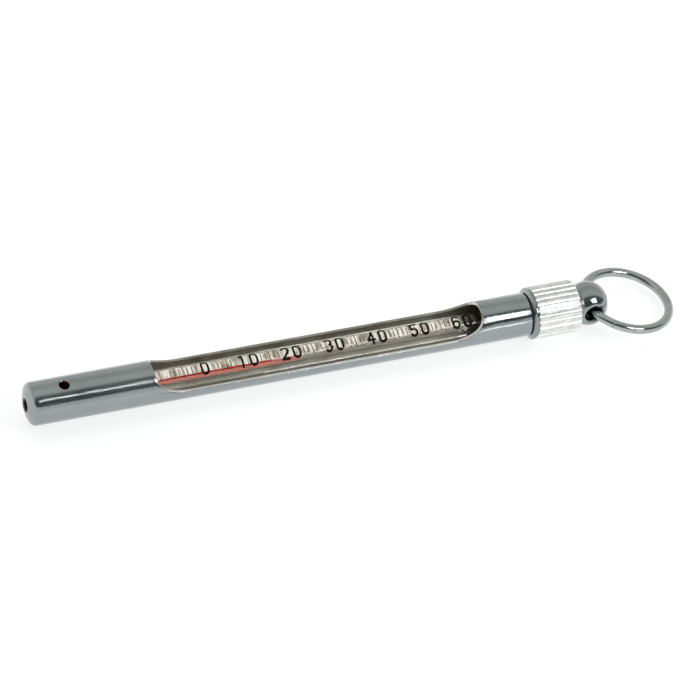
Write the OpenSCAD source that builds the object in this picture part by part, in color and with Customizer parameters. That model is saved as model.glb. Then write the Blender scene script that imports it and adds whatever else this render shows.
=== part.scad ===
// Darkroom thermometer: a spirit-in-glass stem in a plated brass tube with a reading window, a knurled screw
// cap, and a carrying ring. It lies on its side along X with its tip at -X and its window facing up, +Z.
// Stations along the tube are millimetres from the outside of its tip.

/* [Case tube] */
// Outside diameter of the tube
tube_od = 11; // [10:0.5:12]
// Wall thickness of the tube
tube_wall = 0.75; // [0.6:0.05:0.9]
// Station of the tube's open mouth
tube_len = 133; // [130:1:136]
// Diameter of the hole in the middle of the tip
tip_hole_d = 3.4; // [2:0.2:4]
// Diameter of the round vent hole beside the bulb
vent_d = 2.7; // [2:0.1:3]
// Station of the vent hole's centre
vent_x = 9.6; // [8:0.2:12]
// Turn of the vent hole from straight up, towards -Y
vent_turn = 9; // [0:0.5:15]
// Bend radius of the tip's rounded shoulder
shoulder_r = 1.6; // [1.2:0.1:2]
// Radius of the tip's shallow dome
dome_r = 12; // [10:1:16]

/* [Reading window] */
// Station where the window starts
window_x0 = 32.7; // [30:0.1:36]
// Station where the window ends
window_x1 = 119.8; // [115:0.1:121]
// Height of the window's long edges above the tube's axis
window_h = 0.7; // [0.2:0.1:1.5]
// Turn of the window from straight up, towards -Y
window_turn = 6; // [0:0.5:10]
// Length of the curved run-out at each end
runout_len = 9; // [6:0.5:12]
// Height of the curved run-out at each end
runout_h = 4.4; // [3:0.1:5]

/* [Screw cap] */
// Diameter over the knurl
cap_od = 13.2; // [12.6:0.1:14]
// Station of the cap's mouth
cap_x0 = 133.5; // [133.5:0.1:133.6]
// Station of the cap's flat end
cap_x1 = 146.3; // [145.5:0.1:148]
// Thickness of the cap's end wall
cap_end = 3; // [2.5:0.1:3.5]
// Number of ribs in the straight knurl
knurl_ribs = 28; // [24:2:32]
// Pitch of the screw thread
thread_pitch = 0.75; // [0.5:0.25:0.75]
// Diameter over the male thread's crests
thread_d = 9.4; // [9.2:0.1:9.5]
// Depth of the thread, crest to root
thread_depth = 0.4; // [0.3:0.05:0.45]
// Radial running clearance between the thread's crests and the cap
thread_gap = 0.06; // [0.03:0.01:0.1]

/* [Ball and ring] */
// Diameter of the ball
ball_d = 11.2; // [10.8:0.1:11.6]
// Station of the ball's centre, where the cross-hole goes through
ball_x = 150; // [149.8:0.1:150.4]
// Diameter of the cross-hole that the ring passes through
eye_d = 4.4; // [4.2:0.1:4.6]
// Radius of the cross-hole's rounded mouths
eye_round = 0.8; // [0.7:0.1:1]
// Diameter of the shank that holds the ball in the cap
shank_d = 3.5; // [3:0.1:4]
// Diameter of the ring's wire
wire_d = 2.3; // [2:0.1:2.4]
// Radius of the ring to the middle of its wire
ring_r = 11.1; // [10.5:0.1:12]
// Distance from the cross-hole's axis to the ring's centre
ring_reach = 11.3; // [11.2:0.1:11.4]
// Angle that the ring droops below the tube's axis
ring_droop = 9; // [0:1:13]

/* [Glass] */
// Diameter of the glass stem
stem_d = 5.4; // [5.2:0.1:5.5]
// Station of the stem's rounded top
stem_x1 = 142.2; // [141.8:0.1:142.2]
// Station where the stem is fused to the bulb
stem_x0 = 19.5; // [18:0.5:21]
// Diameter of the bulb
bulb_d = 5.6; // [5:0.1:5.8]
// Wall thickness of the bulb
bulb_wall = 0.5; // [0.4:0.05:0.6]
// Diameter of the capillary bore
bore_d = 0.3; // [0.3:0.05:0.5]
// Turn of the stem's scale from the window's middle, towards -Y
scale_turn = 18.5; // [0:0.5:40]
// Width of the enamel strip behind the capillary
enamel_w = 1.8; // [1.4:0.1:2]
// Sideways distance from the capillary to the middle of the enamel strip
enamel_shift = 0.6; // [0:0.1:0.7]
// Thickness of the enamel strip
enamel_t = 0.35; // [0.2:0.05:0.5]
// Distance from the capillary to the face of the enamel strip
enamel_back_off = 0.6; // [0.4:0.05:1]
// Station where the enamel strip starts
enamel_x0 = 24; // [21:1:30]
// Station where the enamel strip ends
enamel_x1 = 115.8; // [114:0.1:118]

/* [Scale] */
// Station of the zero numeral
zero_x = 46.7; // [45:0.1:48]
// Length of ten degrees along the stem
ten_deg = 11.42; // [11:0.01:12]
// Lowest graduation in degrees
scale_min = -8; // [-10:1:-5]
// Highest graduation in degrees
scale_max = 58; // [50:1:60]
// Temperature that the spirit column shows
reading = 22.5; // [0:0.5:50]
// Height of the numerals
digit_h = 3.55; // [3:0.05:4]
// Width of one numeral
digit_w = 2.2; // [1.8:0.05:2.4]
// Distance between the two numerals of a pair
digit_pitch = 3; // [2.8:0.1:3.5]
// Stroke width of the numerals
stroke = 0.56; // [0.3:0.02:0.6]
// Width of a graduation mark
tick_w = 0.2; // [0.15:0.01:0.3]
// Length of a one-degree mark
tick_len = 1.8; // [1.5:0.1:3]
// Length of a five-degree mark
long_tick_len = 2.8; // [2.5:0.1:3.6]
// Thickness of the fired print
print_t = 0.05; // [0.02:0.01:0.05]

/* [Hidden] */

// Each diameter of the case as a radius
tube_r = tube_od / 2;
tube_ri = tube_r - tube_wall;
cap_r = cap_od / 2;
ball_r = ball_d / 2;
stem_r = stem_d / 2;
bulb_r = bulb_d / 2;
bulb_ri = bulb_r - bulb_wall;
bore_r = bore_d / 2;
thread_r = thread_d / 2;
root_r = thread_r - thread_depth;
cap_ri = thread_r + thread_gap;
wire_r = wire_d / 2;
cut = 0.05;
running = 0.05;
round_fn = 96;

// The whole object is centred on X over its length and stands on its widest part, the knurl
ring_x = ball_x + ring_reach * cos(ring_droop);
whole_len = ring_x + ring_r * cos(ring_droop) + wire_r;
axis_z = cap_r;

// Inside of the cap, the spigot in it, and the pad between the spigot and the cap's end wall
cap_floor = cap_x1 - cap_end;
pad_t = 1;
pad_gap = 0.05;
pad_x0 = cap_floor - pad_gap - pad_t;
pad_r = cap_ri - 0.26;
spigot_x1 = pad_x0 - pad_gap;
bush_x0 = tube_len - 9;
bush_bore_r = 3.6;
relief_len = 0.9;

// Cushions round the glass
seat_x0 = 2.2;
seat_t = 1.8;
seat_r = 2.2;
seat_gap = 0.1;
grommet_x0 = 23;
grommet_len = 4;
sleeve_x0 = bush_x0 + 2;
sleeve_x1 = spigot_x1 - 1;
cushion_gap = 0.05;

// The bulb's round end rests in the tip cushion
bulb_c = seat_x0 + seat_t + sqrt(bulb_r * bulb_r - seat_r * seat_r) + seat_gap;
bulb_neck = 2;

// Places a shape whose own Z runs up from the tip's outside
module on_axis() {
    translate([-whole_len / 2, 0, axis_z]) rotate([0, 90, 0]) children();
}

// Places a shape drawn with X as the station, Y across and Z towards the window
module in_tube() {
    translate([-whole_len / 2, 0, axis_z]) children();
}

// The same, turned with the stem's scale
module on_scale() {
    in_tube() rotate([scale_turn, 0, 0]) children();
}

// A plain ring about the tube's axis between two stations
module ring_between(x0, x1, r_in, r_out) {
    on_axis() translate([0, 0, x0]) difference() {
        cylinder(r = r_out, h = x1 - x0, $fn = round_fn);
        translate([0, 0, -cut]) cylinder(r = r_in, h = x1 - x0 + 2 * cut, $fn = round_fn);
    }
}

// Half section of a closed-end tube: radius across, station up, with a rounded shoulder and a shallow dome
module closed_end_section(r, start, shoulder, dome) {
    intersection() {
        difference() {
            translate([0, start]) square([r, tube_len - start]);
            translate([r - shoulder, start]) difference() {
                square(shoulder);
                translate([0, shoulder]) circle(r = shoulder, $fn = round_fn);
            }
        }
        union() {
            translate([0, start + dome]) circle(r = dome, $fn = 4 * round_fn);
            translate([0, start + dome / 2]) square([r, tube_len]);
        }
    }
}

// Side outline of the window's cutter, with an elliptical run-out at each end
module window_outline() {
    top = tube_r + 1;
    run = [for (a = [0:6:90]) [runout_len * (1 - sin(a)), window_h + runout_h * (1 - cos(a))]];
    left = [for (p = run) [window_x0 + p[0], p[1]]];
    right = [for (i = [len(run) - 1:-1:0]) [window_x1 - run[i][0], run[i][1]]];
    polygon(concat(left, [[window_x0, top], [window_x1, top]], right));
}

module case_tube() {
    color([0.66, 0.68, 0.67]) difference() {
        on_axis() rotate_extrude($fn = round_fn) difference() {
            closed_end_section(tube_r, 0, shoulder_r, dome_r);
            closed_end_section(tube_ri, tube_wall, shoulder_r - tube_wall, dome_r - tube_wall);
            translate([-cut, tube_len - cut]) square([tube_ri + cut, 2 * cut]);
        }
        on_axis() translate([0, 0, -1]) cylinder(d = tip_hole_d, h = 4, $fn = round_fn);
        in_tube() rotate([vent_turn, 0, 0]) translate([vent_x, 0, 0])
            cylinder(d = vent_d, h = tube_od, $fn = round_fn);
        in_tube() rotate([window_turn, 0, 0]) translate([0, tube_od, 0]) rotate([90, 0, 0])
            linear_extrude(height = 2 * tube_od) window_outline();
    }
}

// Ring-shaped ridges at the thread's pitch stand for the male thread
module thread_bush() {
    ridge_x0 = tube_len + relief_len;
    ridges = floor((spigot_x1 - ridge_x0) / thread_pitch);
    teeth = [for (i = [0:ridges - 1], s = [0, 0.5])
        [s == 0 ? root_r : thread_r, ridge_x0 + (i + s) * thread_pitch]];
    section = concat([[bush_bore_r, bush_x0], [tube_ri, bush_x0], [tube_ri, tube_len], [root_r, tube_len]],
                     teeth,
                     [[root_r, ridge_x0 + ridges * thread_pitch], [root_r, spigot_x1],
                      [bush_bore_r, spigot_x1]]);
    color([0.80, 0.71, 0.45]) on_axis() rotate_extrude($fn = round_fn) polygon(section);
}

module mouth_washer() {
    color([0.16, 0.14, 0.13])
        ring_between(tube_len + running, cap_x0 - running, thread_r + running, tube_r - 0.2);
}

module tip_cushion() {
    color([0.13, 0.13, 0.13]) ring_between(seat_x0, seat_x0 + seat_t, seat_r, tube_ri - cushion_gap);
}

module stem_cushion() {
    color([0.13, 0.13, 0.13])
        ring_between(grommet_x0, grommet_x0 + grommet_len, stem_r + running, tube_ri - cushion_gap);
}

module top_cushion() {
    color([0.13, 0.13, 0.13])
        ring_between(sleeve_x0, sleeve_x1, stem_r + running, bush_bore_r - cushion_gap);
}

// Half section of the bulb: a round end, a straight side and a shoulder that meets the stem or the capillary
module bulb_section(r, top_r) {
    intersection() {
        union() {
            translate([0, bulb_c]) circle(r = r, $fn = round_fn);
            polygon([[0, bulb_c], [r, bulb_c], [r, stem_x0 - bulb_neck], [top_r, stem_x0], [0, stem_x0]]);
        }
        square([r, stem_x0]);
    }
}

module glass_bulb() {
    color([0.85, 0.90, 0.90, 0.4]) on_axis() rotate_extrude($fn = round_fn) difference() {
        bulb_section(bulb_r, stem_r);
        bulb_section(bulb_ri, bore_r);
    }
}

module enamel_strip() {
    translate([enamel_x0, enamel_shift - enamel_w / 2, -enamel_back_off - enamel_t])
        cube([enamel_x1 - enamel_x0, enamel_w, enamel_t]);
}

module glass_stem() {
    end_c = stem_x1 - stem_r;
    color([0.85, 0.90, 0.90, 0.4]) difference() {
        on_axis() union() {
            translate([0, 0, stem_x0]) cylinder(r = stem_r, h = end_c - stem_x0, $fn = round_fn);
            translate([0, 0, end_c]) sphere(r = stem_r, $fn = round_fn);
        }
        on_axis() translate([0, 0, stem_x0 - cut])
            cylinder(r = bore_r, h = end_c - stem_x0, $fn = round_fn);
        on_scale() enamel_strip();
    }
}

module enamel_back() {
    color([0.95, 0.91, 0.84]) on_scale() enamel_strip();
}

module red_spirit() {
    level_x = zero_x + reading * ten_deg / 10;
    color([0.78, 0.08, 0.06]) on_axis() union() {
        rotate_extrude($fn = round_fn) bulb_section(bulb_ri, bore_r);
        translate([0, 0, stem_x0 - cut]) cylinder(r = bore_r, h = level_x - stem_x0 + cut, $fn = round_fn);
    }
}

// Keeps only the thin film of a shape that lies on the stem's outside
module printed() {
    on_scale() intersection() {
        translate([enamel_x0, 0, 0]) rotate([0, 90, 0]) difference() {
            cylinder(r = stem_r + print_t, h = stem_x1 - enamel_x0 - 5, $fn = round_fn);
            translate([0, 0, -cut]) cylinder(r = stem_r, h = stem_x1 - enamel_x0, $fn = round_fn);
        }
        children();
    }
}

module tick(degree, length) {
    translate([zero_x + degree * ten_deg / 10 - tick_w / 2, -length / 2, 0]) cube([tick_w, length, stem_d]);
}

// True where a numeral stands in the row of marks
function under_numeral(degree) =
    let (near = round(degree / 10) * 10,
         half = (near == 0 ? digit_w : digit_w + digit_pitch) / 2 + 0.25)
    near >= 0 && abs(degree - near) * ten_deg / 10 < half;

module scale_degree_marks() {
    color([0.10, 0.08, 0.08]) printed()
        for (degree = [scale_min:scale_max])
            if (degree % 5 != 0 && !under_numeral(degree)) tick(degree, tick_len);
}

module scale_long_marks() {
    color([0.10, 0.08, 0.08]) printed()
        for (degree = [scale_min:scale_max])
            if (degree % 5 == 0 && !under_numeral(degree)) tick(degree, long_tick_len);
}

// A stroke of constant width along a circle, from angle a0 to angle a1
module arc_stroke(r, a0, a1) {
    reach = 4 * r;
    fan = [for (i = [0:6]) let (a = a0 + (a1 - a0) * i / 6) reach * [cos(a), sin(a)]];
    intersection() {
        difference() {
            circle(r = r, $fn = 48);
            circle(r = r - stroke, $fn = 48);
        }
        polygon(concat([[0, 0]], fan));
    }
}

// A straight stroke between two points
module line_stroke(p, q) {
    along = q - p;
    turn = atan2(along[1], along[0]);
    translate(p) rotate(turn) translate([0, -stroke / 2]) square([norm(along), stroke]);
}

// Each numeral is centred, digit_w wide and digit_h tall, made of round bowls and straight strokes
bowl = digit_w / 2;
half_h = digit_h / 2;
inner_w = bowl - stroke / 2;
inner_h = half_h - stroke / 2;

module numeral_0() {
    difference() {
        union() {
            for (s = [-1, 1]) translate([0, s * (half_h - bowl)]) circle(r = bowl, $fn = 48);
            square([digit_w, digit_h - digit_w], center = true);
        }
        for (s = [-1, 1]) translate([0, s * (half_h - bowl)]) circle(r = bowl - stroke, $fn = 48);
        square([digit_w - 2 * stroke, digit_h - digit_w], center = true);
    }
}

module numeral_1() {
    translate([-stroke / 2, -half_h]) square([stroke, digit_h]);
    line_stroke([-bowl * 0.7, inner_h - bowl * 0.5], [0, inner_h]);
}

module numeral_2() {
    translate([0, half_h - bowl]) arc_stroke(bowl, -35, 170);
    line_stroke([-inner_w, -inner_h], [inner_w * cos(-35), half_h - bowl + inner_w * sin(-35)]);
    translate([-bowl, -half_h]) square([digit_w, stroke]);
}

module numeral_3() {
    small = (digit_h + stroke) / 4;
    translate([0, half_h - small]) arc_stroke(small, -90, 155);
    translate([0, small - half_h]) arc_stroke(small, -155, 90);
}

module numeral_4() {
    bar_y = -half_h * 0.4;
    line_stroke([-bowl, bar_y], [bowl, bar_y]);
    line_stroke([bowl * 0.35, -half_h], [bowl * 0.35, half_h]);
    line_stroke([-bowl + stroke / 2, bar_y], [bowl * 0.35, inner_h]);
}

module numeral_5() {
    translate([0, -half_h + bowl]) arc_stroke(bowl, -160, 125);
    line_stroke([-inner_w * 0.75, inner_h], [bowl, inner_h]);
    line_stroke([-inner_w * 0.75, inner_h], [-inner_w * 0.75, -half_h + bowl + inner_w * 0.65]);
}

module numeral_6() {
    difference() {
        translate([0, -half_h + bowl]) circle(r = bowl, $fn = 48);
        translate([0, -half_h + bowl]) circle(r = bowl - stroke, $fn = 48);
    }
    translate([0, half_h - bowl]) arc_stroke(bowl, 20, 180);
    translate([-bowl, -half_h + bowl]) square([stroke, digit_h - digit_w]);
}

module numeral(value) {
    if (value == 0) numeral_0();
    if (value == 1) numeral_1();
    if (value == 2) numeral_2();
    if (value == 3) numeral_3();
    if (value == 4) numeral_4();
    if (value == 5) numeral_5();
    if (value == 6) numeral_6();
}

module scale_numerals() {
    color([0.06, 0.05, 0.05]) printed() linear_extrude(height = stem_d)
        for (tens = [0:6]) translate([zero_x + tens * ten_deg, 0]) {
            if (tens == 0) numeral(0);
            if (tens > 0) translate([-digit_pitch / 2, 0]) numeral(tens);
            if (tens > 0) translate([digit_pitch / 2, 0]) numeral(0);
        }
}

module cap_pad() {
    color([0.62, 0.45, 0.28]) on_axis() translate([0, 0, pad_x0])
        cylinder(r = pad_r, h = pad_t, $fn = round_fn);
}

// Cap: a bevelled lip, a narrow neck groove, and a knurl of straight round-bottomed grooves
module knurled_cap() {
    lip_x = cap_x0 + 0.5;
    neck_x = lip_x + 0.35;
    knurl_x = neck_x + 0.35;
    lip_r = cap_r - 0.05;
    neck_r = cap_r - 0.4;
    bevel = 0.5;
    groove_r = 0.45;
    section = [[cap_ri, cap_x0], [tube_r + 0.05, cap_x0], [lip_r, lip_x], [lip_r, neck_x - 0.1],
               [neck_r, neck_x], [neck_r, knurl_x - 0.15], [cap_r - 0.1, knurl_x], [cap_r, knurl_x + 0.1],
               [cap_r, cap_x1 - bevel], [cap_r - bevel, cap_x1], [shank_d / 2, cap_x1],
               [shank_d / 2, cap_floor], [cap_ri, cap_floor]];
    color([0.84, 0.85, 0.84]) difference() {
        on_axis() rotate_extrude($fn = round_fn) polygon(section);
        on_axis() for (i = [0:knurl_ribs - 1]) rotate((i + 0.5) * 360 / knurl_ribs)
            translate([cap_r + groove_r * 0.35, 0, knurl_x - 0.1])
                cylinder(r = groove_r, h = cap_x1 - knurl_x + 1, $fn = 24);
    }
}

// Half section of the ball about its cross-hole, with the hole's mouths rounded
module ball_section() {
    eye_r = eye_d / 2;
    mouth_r = eye_r + eye_round;
    mouth_y = sqrt(ball_r * ball_r - mouth_r * mouth_r);
    difference() {
        intersection() {
            circle(r = ball_r, $fn = round_fn);
            translate([eye_r, -ball_r]) square([ball_r, ball_d]);
        }
        for (s = [0, 1]) mirror([0, s]) difference() {
            translate([eye_r, mouth_y - eye_round]) square([eye_round, ball_r]);
            translate([mouth_r, mouth_y - eye_round]) circle(r = eye_round, $fn = 48);
        }
    }
}

// Ball with its cross-hole, on a shank that fills the hole in the cap's end wall
module ball_finial() {
    color([0.62, 0.65, 0.64]) union() {
        difference() {
            in_tube() translate([ball_x, 0, 0]) rotate([90, 0, 0])
                rotate_extrude($fn = round_fn) ball_section();
            in_tube() translate([cap_x1 - ball_d, -ball_r, -ball_r]) cube(ball_d);
        }
        on_axis() translate([0, 0, cap_floor]) cylinder(d = shank_d, h = cap_end, $fn = round_fn);
    }
}

module carry_ring() {
    color([0.62, 0.64, 0.64]) in_tube() translate([ball_x, 0, 0]) rotate([0, ring_droop, 0])
        translate([ring_reach, 0, 0]) rotate_extrude($fn = 2 * round_fn)
            translate([ring_r, 0]) circle(d = wire_d, $fn = 48);
}

case_tube();
thread_bush();
mouth_washer();
tip_cushion();
stem_cushion();
top_cushion();
glass_bulb();
glass_stem();
enamel_back();
red_spirit();
scale_degree_marks();
scale_long_marks();
scale_numerals();
cap_pad();
knurled_cap();
ball_finial();
carry_ring();
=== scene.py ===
import math

import bpy
from mathutils import Matrix, Vector


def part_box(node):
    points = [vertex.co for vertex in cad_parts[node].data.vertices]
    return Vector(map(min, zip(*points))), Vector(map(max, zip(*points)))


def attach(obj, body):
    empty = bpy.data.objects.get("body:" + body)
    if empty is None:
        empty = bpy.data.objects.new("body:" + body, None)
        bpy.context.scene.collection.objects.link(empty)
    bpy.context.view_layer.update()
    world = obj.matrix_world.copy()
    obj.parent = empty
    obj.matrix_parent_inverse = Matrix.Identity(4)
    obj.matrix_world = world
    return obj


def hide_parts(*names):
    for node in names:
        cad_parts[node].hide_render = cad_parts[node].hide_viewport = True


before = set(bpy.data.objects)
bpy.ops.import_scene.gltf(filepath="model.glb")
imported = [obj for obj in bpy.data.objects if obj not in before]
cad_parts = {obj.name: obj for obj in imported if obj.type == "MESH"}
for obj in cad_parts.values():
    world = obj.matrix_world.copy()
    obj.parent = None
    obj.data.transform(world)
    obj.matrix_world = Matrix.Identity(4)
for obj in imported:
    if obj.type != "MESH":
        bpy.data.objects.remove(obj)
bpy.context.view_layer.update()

# ---- Camera ----
# It stands in front, to the left and above, 1.7 m away with a long lens, and leans so that the tube
# rises to the right.
MM = 0.001
tube_low, tube_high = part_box("case_tube")
axis_height = (tube_low.z + tube_high.z) / 2


def place(station, across=0.0, up=0.0):
    """A point in metres: mm along from the outside of the tip, across the tube, and up from its axis."""
    return Vector((tube_low.x + station * MM, across * MM, axis_height + up * MM))


swing = math.radians(19.5)
height_angle = math.radians(45)
lean = math.radians(10.33)
outward = Vector((0, -math.sin(height_angle), math.cos(height_angle)))
back = Vector((-math.sin(swing), 0, 0)) + outward * math.cos(swing)
along = Vector((math.cos(swing), 0, 0)) + outward * math.sin(swing)
over = back.cross(along)
right = math.cos(lean) * along - math.sin(lean) * over
up = math.sin(lean) * along + math.cos(lean) * over
camera_distance = 1.7
aim_station = 85.14
aim_drop = 0.4
aim = place(aim_station) - over * aim_drop * MM

bpy.ops.object.camera_add()
camera = bpy.context.object
camera.name = "camera"
camera.data.sensor_width = 36
camera.data.lens = 354
camera.data.clip_start = 0.05
camera.data.clip_end = 50
camera.matrix_world = Matrix((right, up, back)).transposed().to_4x4()
camera.location = aim + back * camera_distance
bpy.context.scene.camera = camera

# ---- Floor ----
# A broad sheet of smooth white paper, faintly mottled, lit mostly from beneath like a light table. It runs
# on past the view on every side, as an even white ground.


def linear(code):
    """An sRGB hex value as the linear colour that a shader takes."""
    parts = [int(code[i:i + 2], 16) / 255 for i in (1, 3, 5)]
    return [c / 12.92 if c <= 0.04045 else ((c + 0.055) / 1.055) ** 2.4 for c in parts] + [1.0]


def add(tree, kind, values=None, links=None, stops=None, **settings):
    """Adds a node with its settings, its sockets' values, what feeds its sockets, and a ramp's stops.

    A stop is a place on the ramp and an sRGB hex value."""
    made = tree.nodes.new(kind)
    for name, value in settings.items():
        setattr(made, name, value)
    for socket, value in (values or {}).items():
        made.inputs[socket].default_value = value
    for socket, source in (links or {}).items():
        tree.links.new(source, made.inputs[socket])
    if stops:
        ramp = made.color_ramp.elements
        while len(ramp) < len(stops):
            ramp.new(0.5)
        for element, (spot, code) in zip(ramp, stops):
            element.position = spot
            element.color = linear(code)
    return made


def new_material(name, **shader_values):
    """A material with its Principled shader, whose constant values are set on its own sockets."""
    made = bpy.data.materials.new(name)
    made.use_nodes = True
    shader = made.node_tree.nodes["Principled BSDF"]
    for socket, value in shader_values.items():
        shader.inputs[socket.replace("_", " ")].default_value = value
    return made, made.node_tree, shader


paper, tree, shader = new_material("white_paper", Roughness=0.9, Emission_Strength=0.80)
spot = add(tree, "ShaderNodeTexCoord").outputs["Object"]
mottle = add(tree, "ShaderNodeTexNoise", {"Scale": 6.0, "Detail": 3.0}, {"Vector": spot})
shade = add(tree, "ShaderNodeValToRGB", links={"Fac": mottle.outputs["Fac"]},
            stops=[(0.3, "#979796"), (0.7, "#9d9d9c")])
glow = add(tree, "ShaderNodeValToRGB", links={"Fac": mottle.outputs["Fac"]},
           stops=[(0.3, "#f8f9f9"), (0.7, "#fbfcfc")])
tree.links.new(shade.outputs["Color"], shader.inputs["Base Color"])
tree.links.new(glow.outputs["Color"], shader.inputs["Emission Color"])

bpy.ops.object.select_all(action="DESELECT")
floor_size = 24
bpy.ops.mesh.primitive_plane_add(size=floor_size)
floor = bpy.context.object
floor.name = "paper_floor"
floor.data.materials.append(paper)

# ---- Studio light ----
# A soft grey room with a dark gap above the camera and a low white wall in front. To the right are a
# softbox and a low strip, overhead a lamp that no surface mirrors, and in front a row of small lamps that
# put sparks along the tube.
scene = bpy.context.scene
scene.view_settings.view_transform = "Standard"
world = bpy.data.worlds.new("studio")
scene.world = world
world.use_nodes = True
tree = world.node_tree
spot = add(tree, "ShaderNodeTexCoord").outputs["Generated"]
split = add(tree, "ShaderNodeSeparateXYZ", links={"Vector": spot})
front = add(tree, "ShaderNodeMath", {1: -1.0}, {0: split.outputs["Y"]}, operation="MULTIPLY")
turn = add(tree, "ShaderNodeMath", links={0: split.outputs["Z"], 1: front.outputs[0]}, operation="ARCTAN2")
share = add(tree, "ShaderNodeMath", {1: math.pi}, {0: turn.outputs[0]}, operation="DIVIDE")
room = add(tree, "ShaderNodeValToRGB", links={"Fac": share.outputs[0]}, stops=[
    (0.00, "#d6d8d8"), (0.095, "#d2d6d6"), (0.125, "#4a5052"), (0.25, "#585c5c"), (0.40, "#6c706e"),
    (0.445, "#c2c4c0"), (0.55, "#c9cbc7"), (0.72, "#b2b4b0"), (0.86, "#cccdca"), (1.00, "#c2c3c0")])
tree.links.new(room.outputs["Color"], tree.nodes["Background"].inputs["Color"])
tree.nodes["Background"].inputs["Strength"].default_value = 1.35


def softbox(name, station, angle, distance, width, height, brightness):
    """A lamp seen from a station on the tube, at an angle above the front horizon.

    Its width lies along the tube. Sizes and distance are in metres, the station in mm."""
    toward = Vector((0, -math.cos(angle), math.sin(angle)))
    bpy.ops.object.light_add(type="AREA")
    lamp = bpy.context.object
    lamp.name = name
    lamp.data.shape = "RECTANGLE"
    lamp.data.size = width
    lamp.data.size_y = height
    lamp.data.energy = brightness * math.pi * width * height
    lamp.visible_camera = False
    lamp.matrix_world = Matrix(((1, 0, 0), toward.cross(Vector((1, 0, 0))), toward)).transposed().to_4x4()
    lamp.location = place(station) + toward * distance
    return lamp


softbox("right_softbox", station=300, angle=math.radians(50), distance=0.40, width=0.20, height=0.145,
        brightness=6.5)
softbox("right_low_strip", station=300, angle=math.radians(1), distance=0.40, width=0.16, height=0.012,
        brightness=8.0)
overhead = softbox("top_softbox", station=60, angle=math.radians(105), distance=0.9, width=0.5, height=0.3,
                   brightness=2.0)
overhead.visible_glossy = False
spark_count = 14
first_spark = 110
spark_spacing = 36
for count in range(spark_count):
    softbox("front_spark", station=first_spark + count * spark_spacing, angle=math.radians(50), distance=0.8,
            width=0.012, height=0.010, brightness=60.0)

# ---- Case tube ----
# A brass tube, drawn and spun shut to a shallow domed tip with a hole in it, then milled with a long window
# whose ends run out in a curve, drilled with one vent hole beside the bulb, deburred, and plated with
# bright chromium.
tube_r = (tube_high.y - tube_low.y) / 2 / MM
tube_wall = 0.75
bore_r = tube_r - tube_wall
tube_end = (tube_high.x - tube_low.x) / MM


def arc(centre_station, centre_r, radius, start, end, steps):
    """Points of an arc in a half section, from one angle in degrees to another.

    0 degrees points up the tube and 90 outwards."""
    angles = [math.radians(start + (end - start) * i / steps) for i in range(steps + 1)]
    return [(centre_station + radius * math.cos(a), centre_r + radius * math.sin(a)) for a in angles]


def turned(name, section, segments=96, centre=place(0), about="X"):
    """Turns a half section of (distance, radius) points in mm about an axis.

    A section that ends where it starts makes a hollow piece."""
    onward = Vector((1, 0, 0)) if about == "X" else Vector((0, 1, 0))
    facing = (0, math.pi / 2, 0) if about == "X" else (math.pi / 2, 0, 0)
    bpy.ops.object.select_all(action="DESELECT")
    bpy.ops.mesh.primitive_circle_add(vertices=segments, radius=section[0][1] * MM, rotation=facing,
                                      location=centre + onward * section[0][0] * MM)
    bpy.ops.object.mode_set(mode="EDIT")
    bpy.ops.mesh.select_all(action="SELECT")
    for (old, old_r), (new, new_r) in zip(section, section[1:]):
        bpy.ops.mesh.extrude_region_move(TRANSFORM_OT_translate={"value": onward * (new - old) * MM})
        shrink = new_r / old_r
        bpy.ops.transform.resize(value=[1 if part else shrink for part in onward],
                                 center_override=centre + onward * new * MM)
    bpy.ops.mesh.select_all(action="SELECT")
    bpy.ops.mesh.remove_doubles(threshold=1e-6)
    bpy.ops.mesh.fill_holes(sides=0)
    bpy.ops.mesh.normals_make_consistent(inside=False)
    bpy.ops.object.mode_set(mode="OBJECT")
    made = bpy.context.object
    made.name = name
    bpy.ops.object.transform_apply(location=True, rotation=True, scale=True)
    return made


def apply_modifier(piece, kind, **settings):
    """Adds a modifier to a piece and applies it."""
    bpy.ops.object.select_all(action="DESELECT")
    bpy.context.view_layer.objects.active = piece
    piece.select_set(True)
    modifier = piece.modifiers.new(kind.lower(), kind)
    for name, value in settings.items():
        setattr(modifier, name, value)
    bpy.ops.object.modifier_apply(modifier=modifier.name)


def smooth(piece, degrees=32):
    """Smooth shading, except across edges sharper than this angle."""
    bpy.ops.object.select_all(action="DESELECT")
    bpy.context.view_layer.objects.active = piece
    piece.select_set(True)
    bpy.ops.object.shade_smooth_by_angle(angle=math.radians(degrees))


tube_facets = 160
tube_rings = 26
tip_hole_r = 1.7
dome_r = 12.0
corner_r = 1.4
inner_dome_r = dome_r - tube_wall
corner_s = dome_r - math.sqrt((dome_r - corner_r) ** 2 - (tube_r - corner_r) ** 2)
lean_back = math.degrees(math.atan2(tube_r - corner_r, corner_s - dome_r))
outer_hole = 180 - math.degrees(math.asin(tip_hole_r / dome_r))
inner_hole = 180 - math.degrees(math.asin(tip_hole_r / inner_dome_r))
inner_corner = 180 - math.degrees(math.asin(bore_r / inner_dome_r))
straight = [corner_s + (tube_end - corner_s) * i / tube_rings for i in range(1, tube_rings + 1)]
section = (arc(dome_r, 0, dome_r, outer_hole, lean_back, 6)
           + arc(corner_s, tube_r - corner_r, corner_r, lean_back, 90, 7)[1:]
           + [(s, tube_r) for s in straight]
           + [(s, bore_r) for s in reversed(straight[:-1] + [tube_end])]
           + arc(dome_r, 0, inner_dome_r, inner_corner, inner_hole, 5))
section.append(section[0])
case_tube = turned("plated_case_tube", section, tube_facets)

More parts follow.
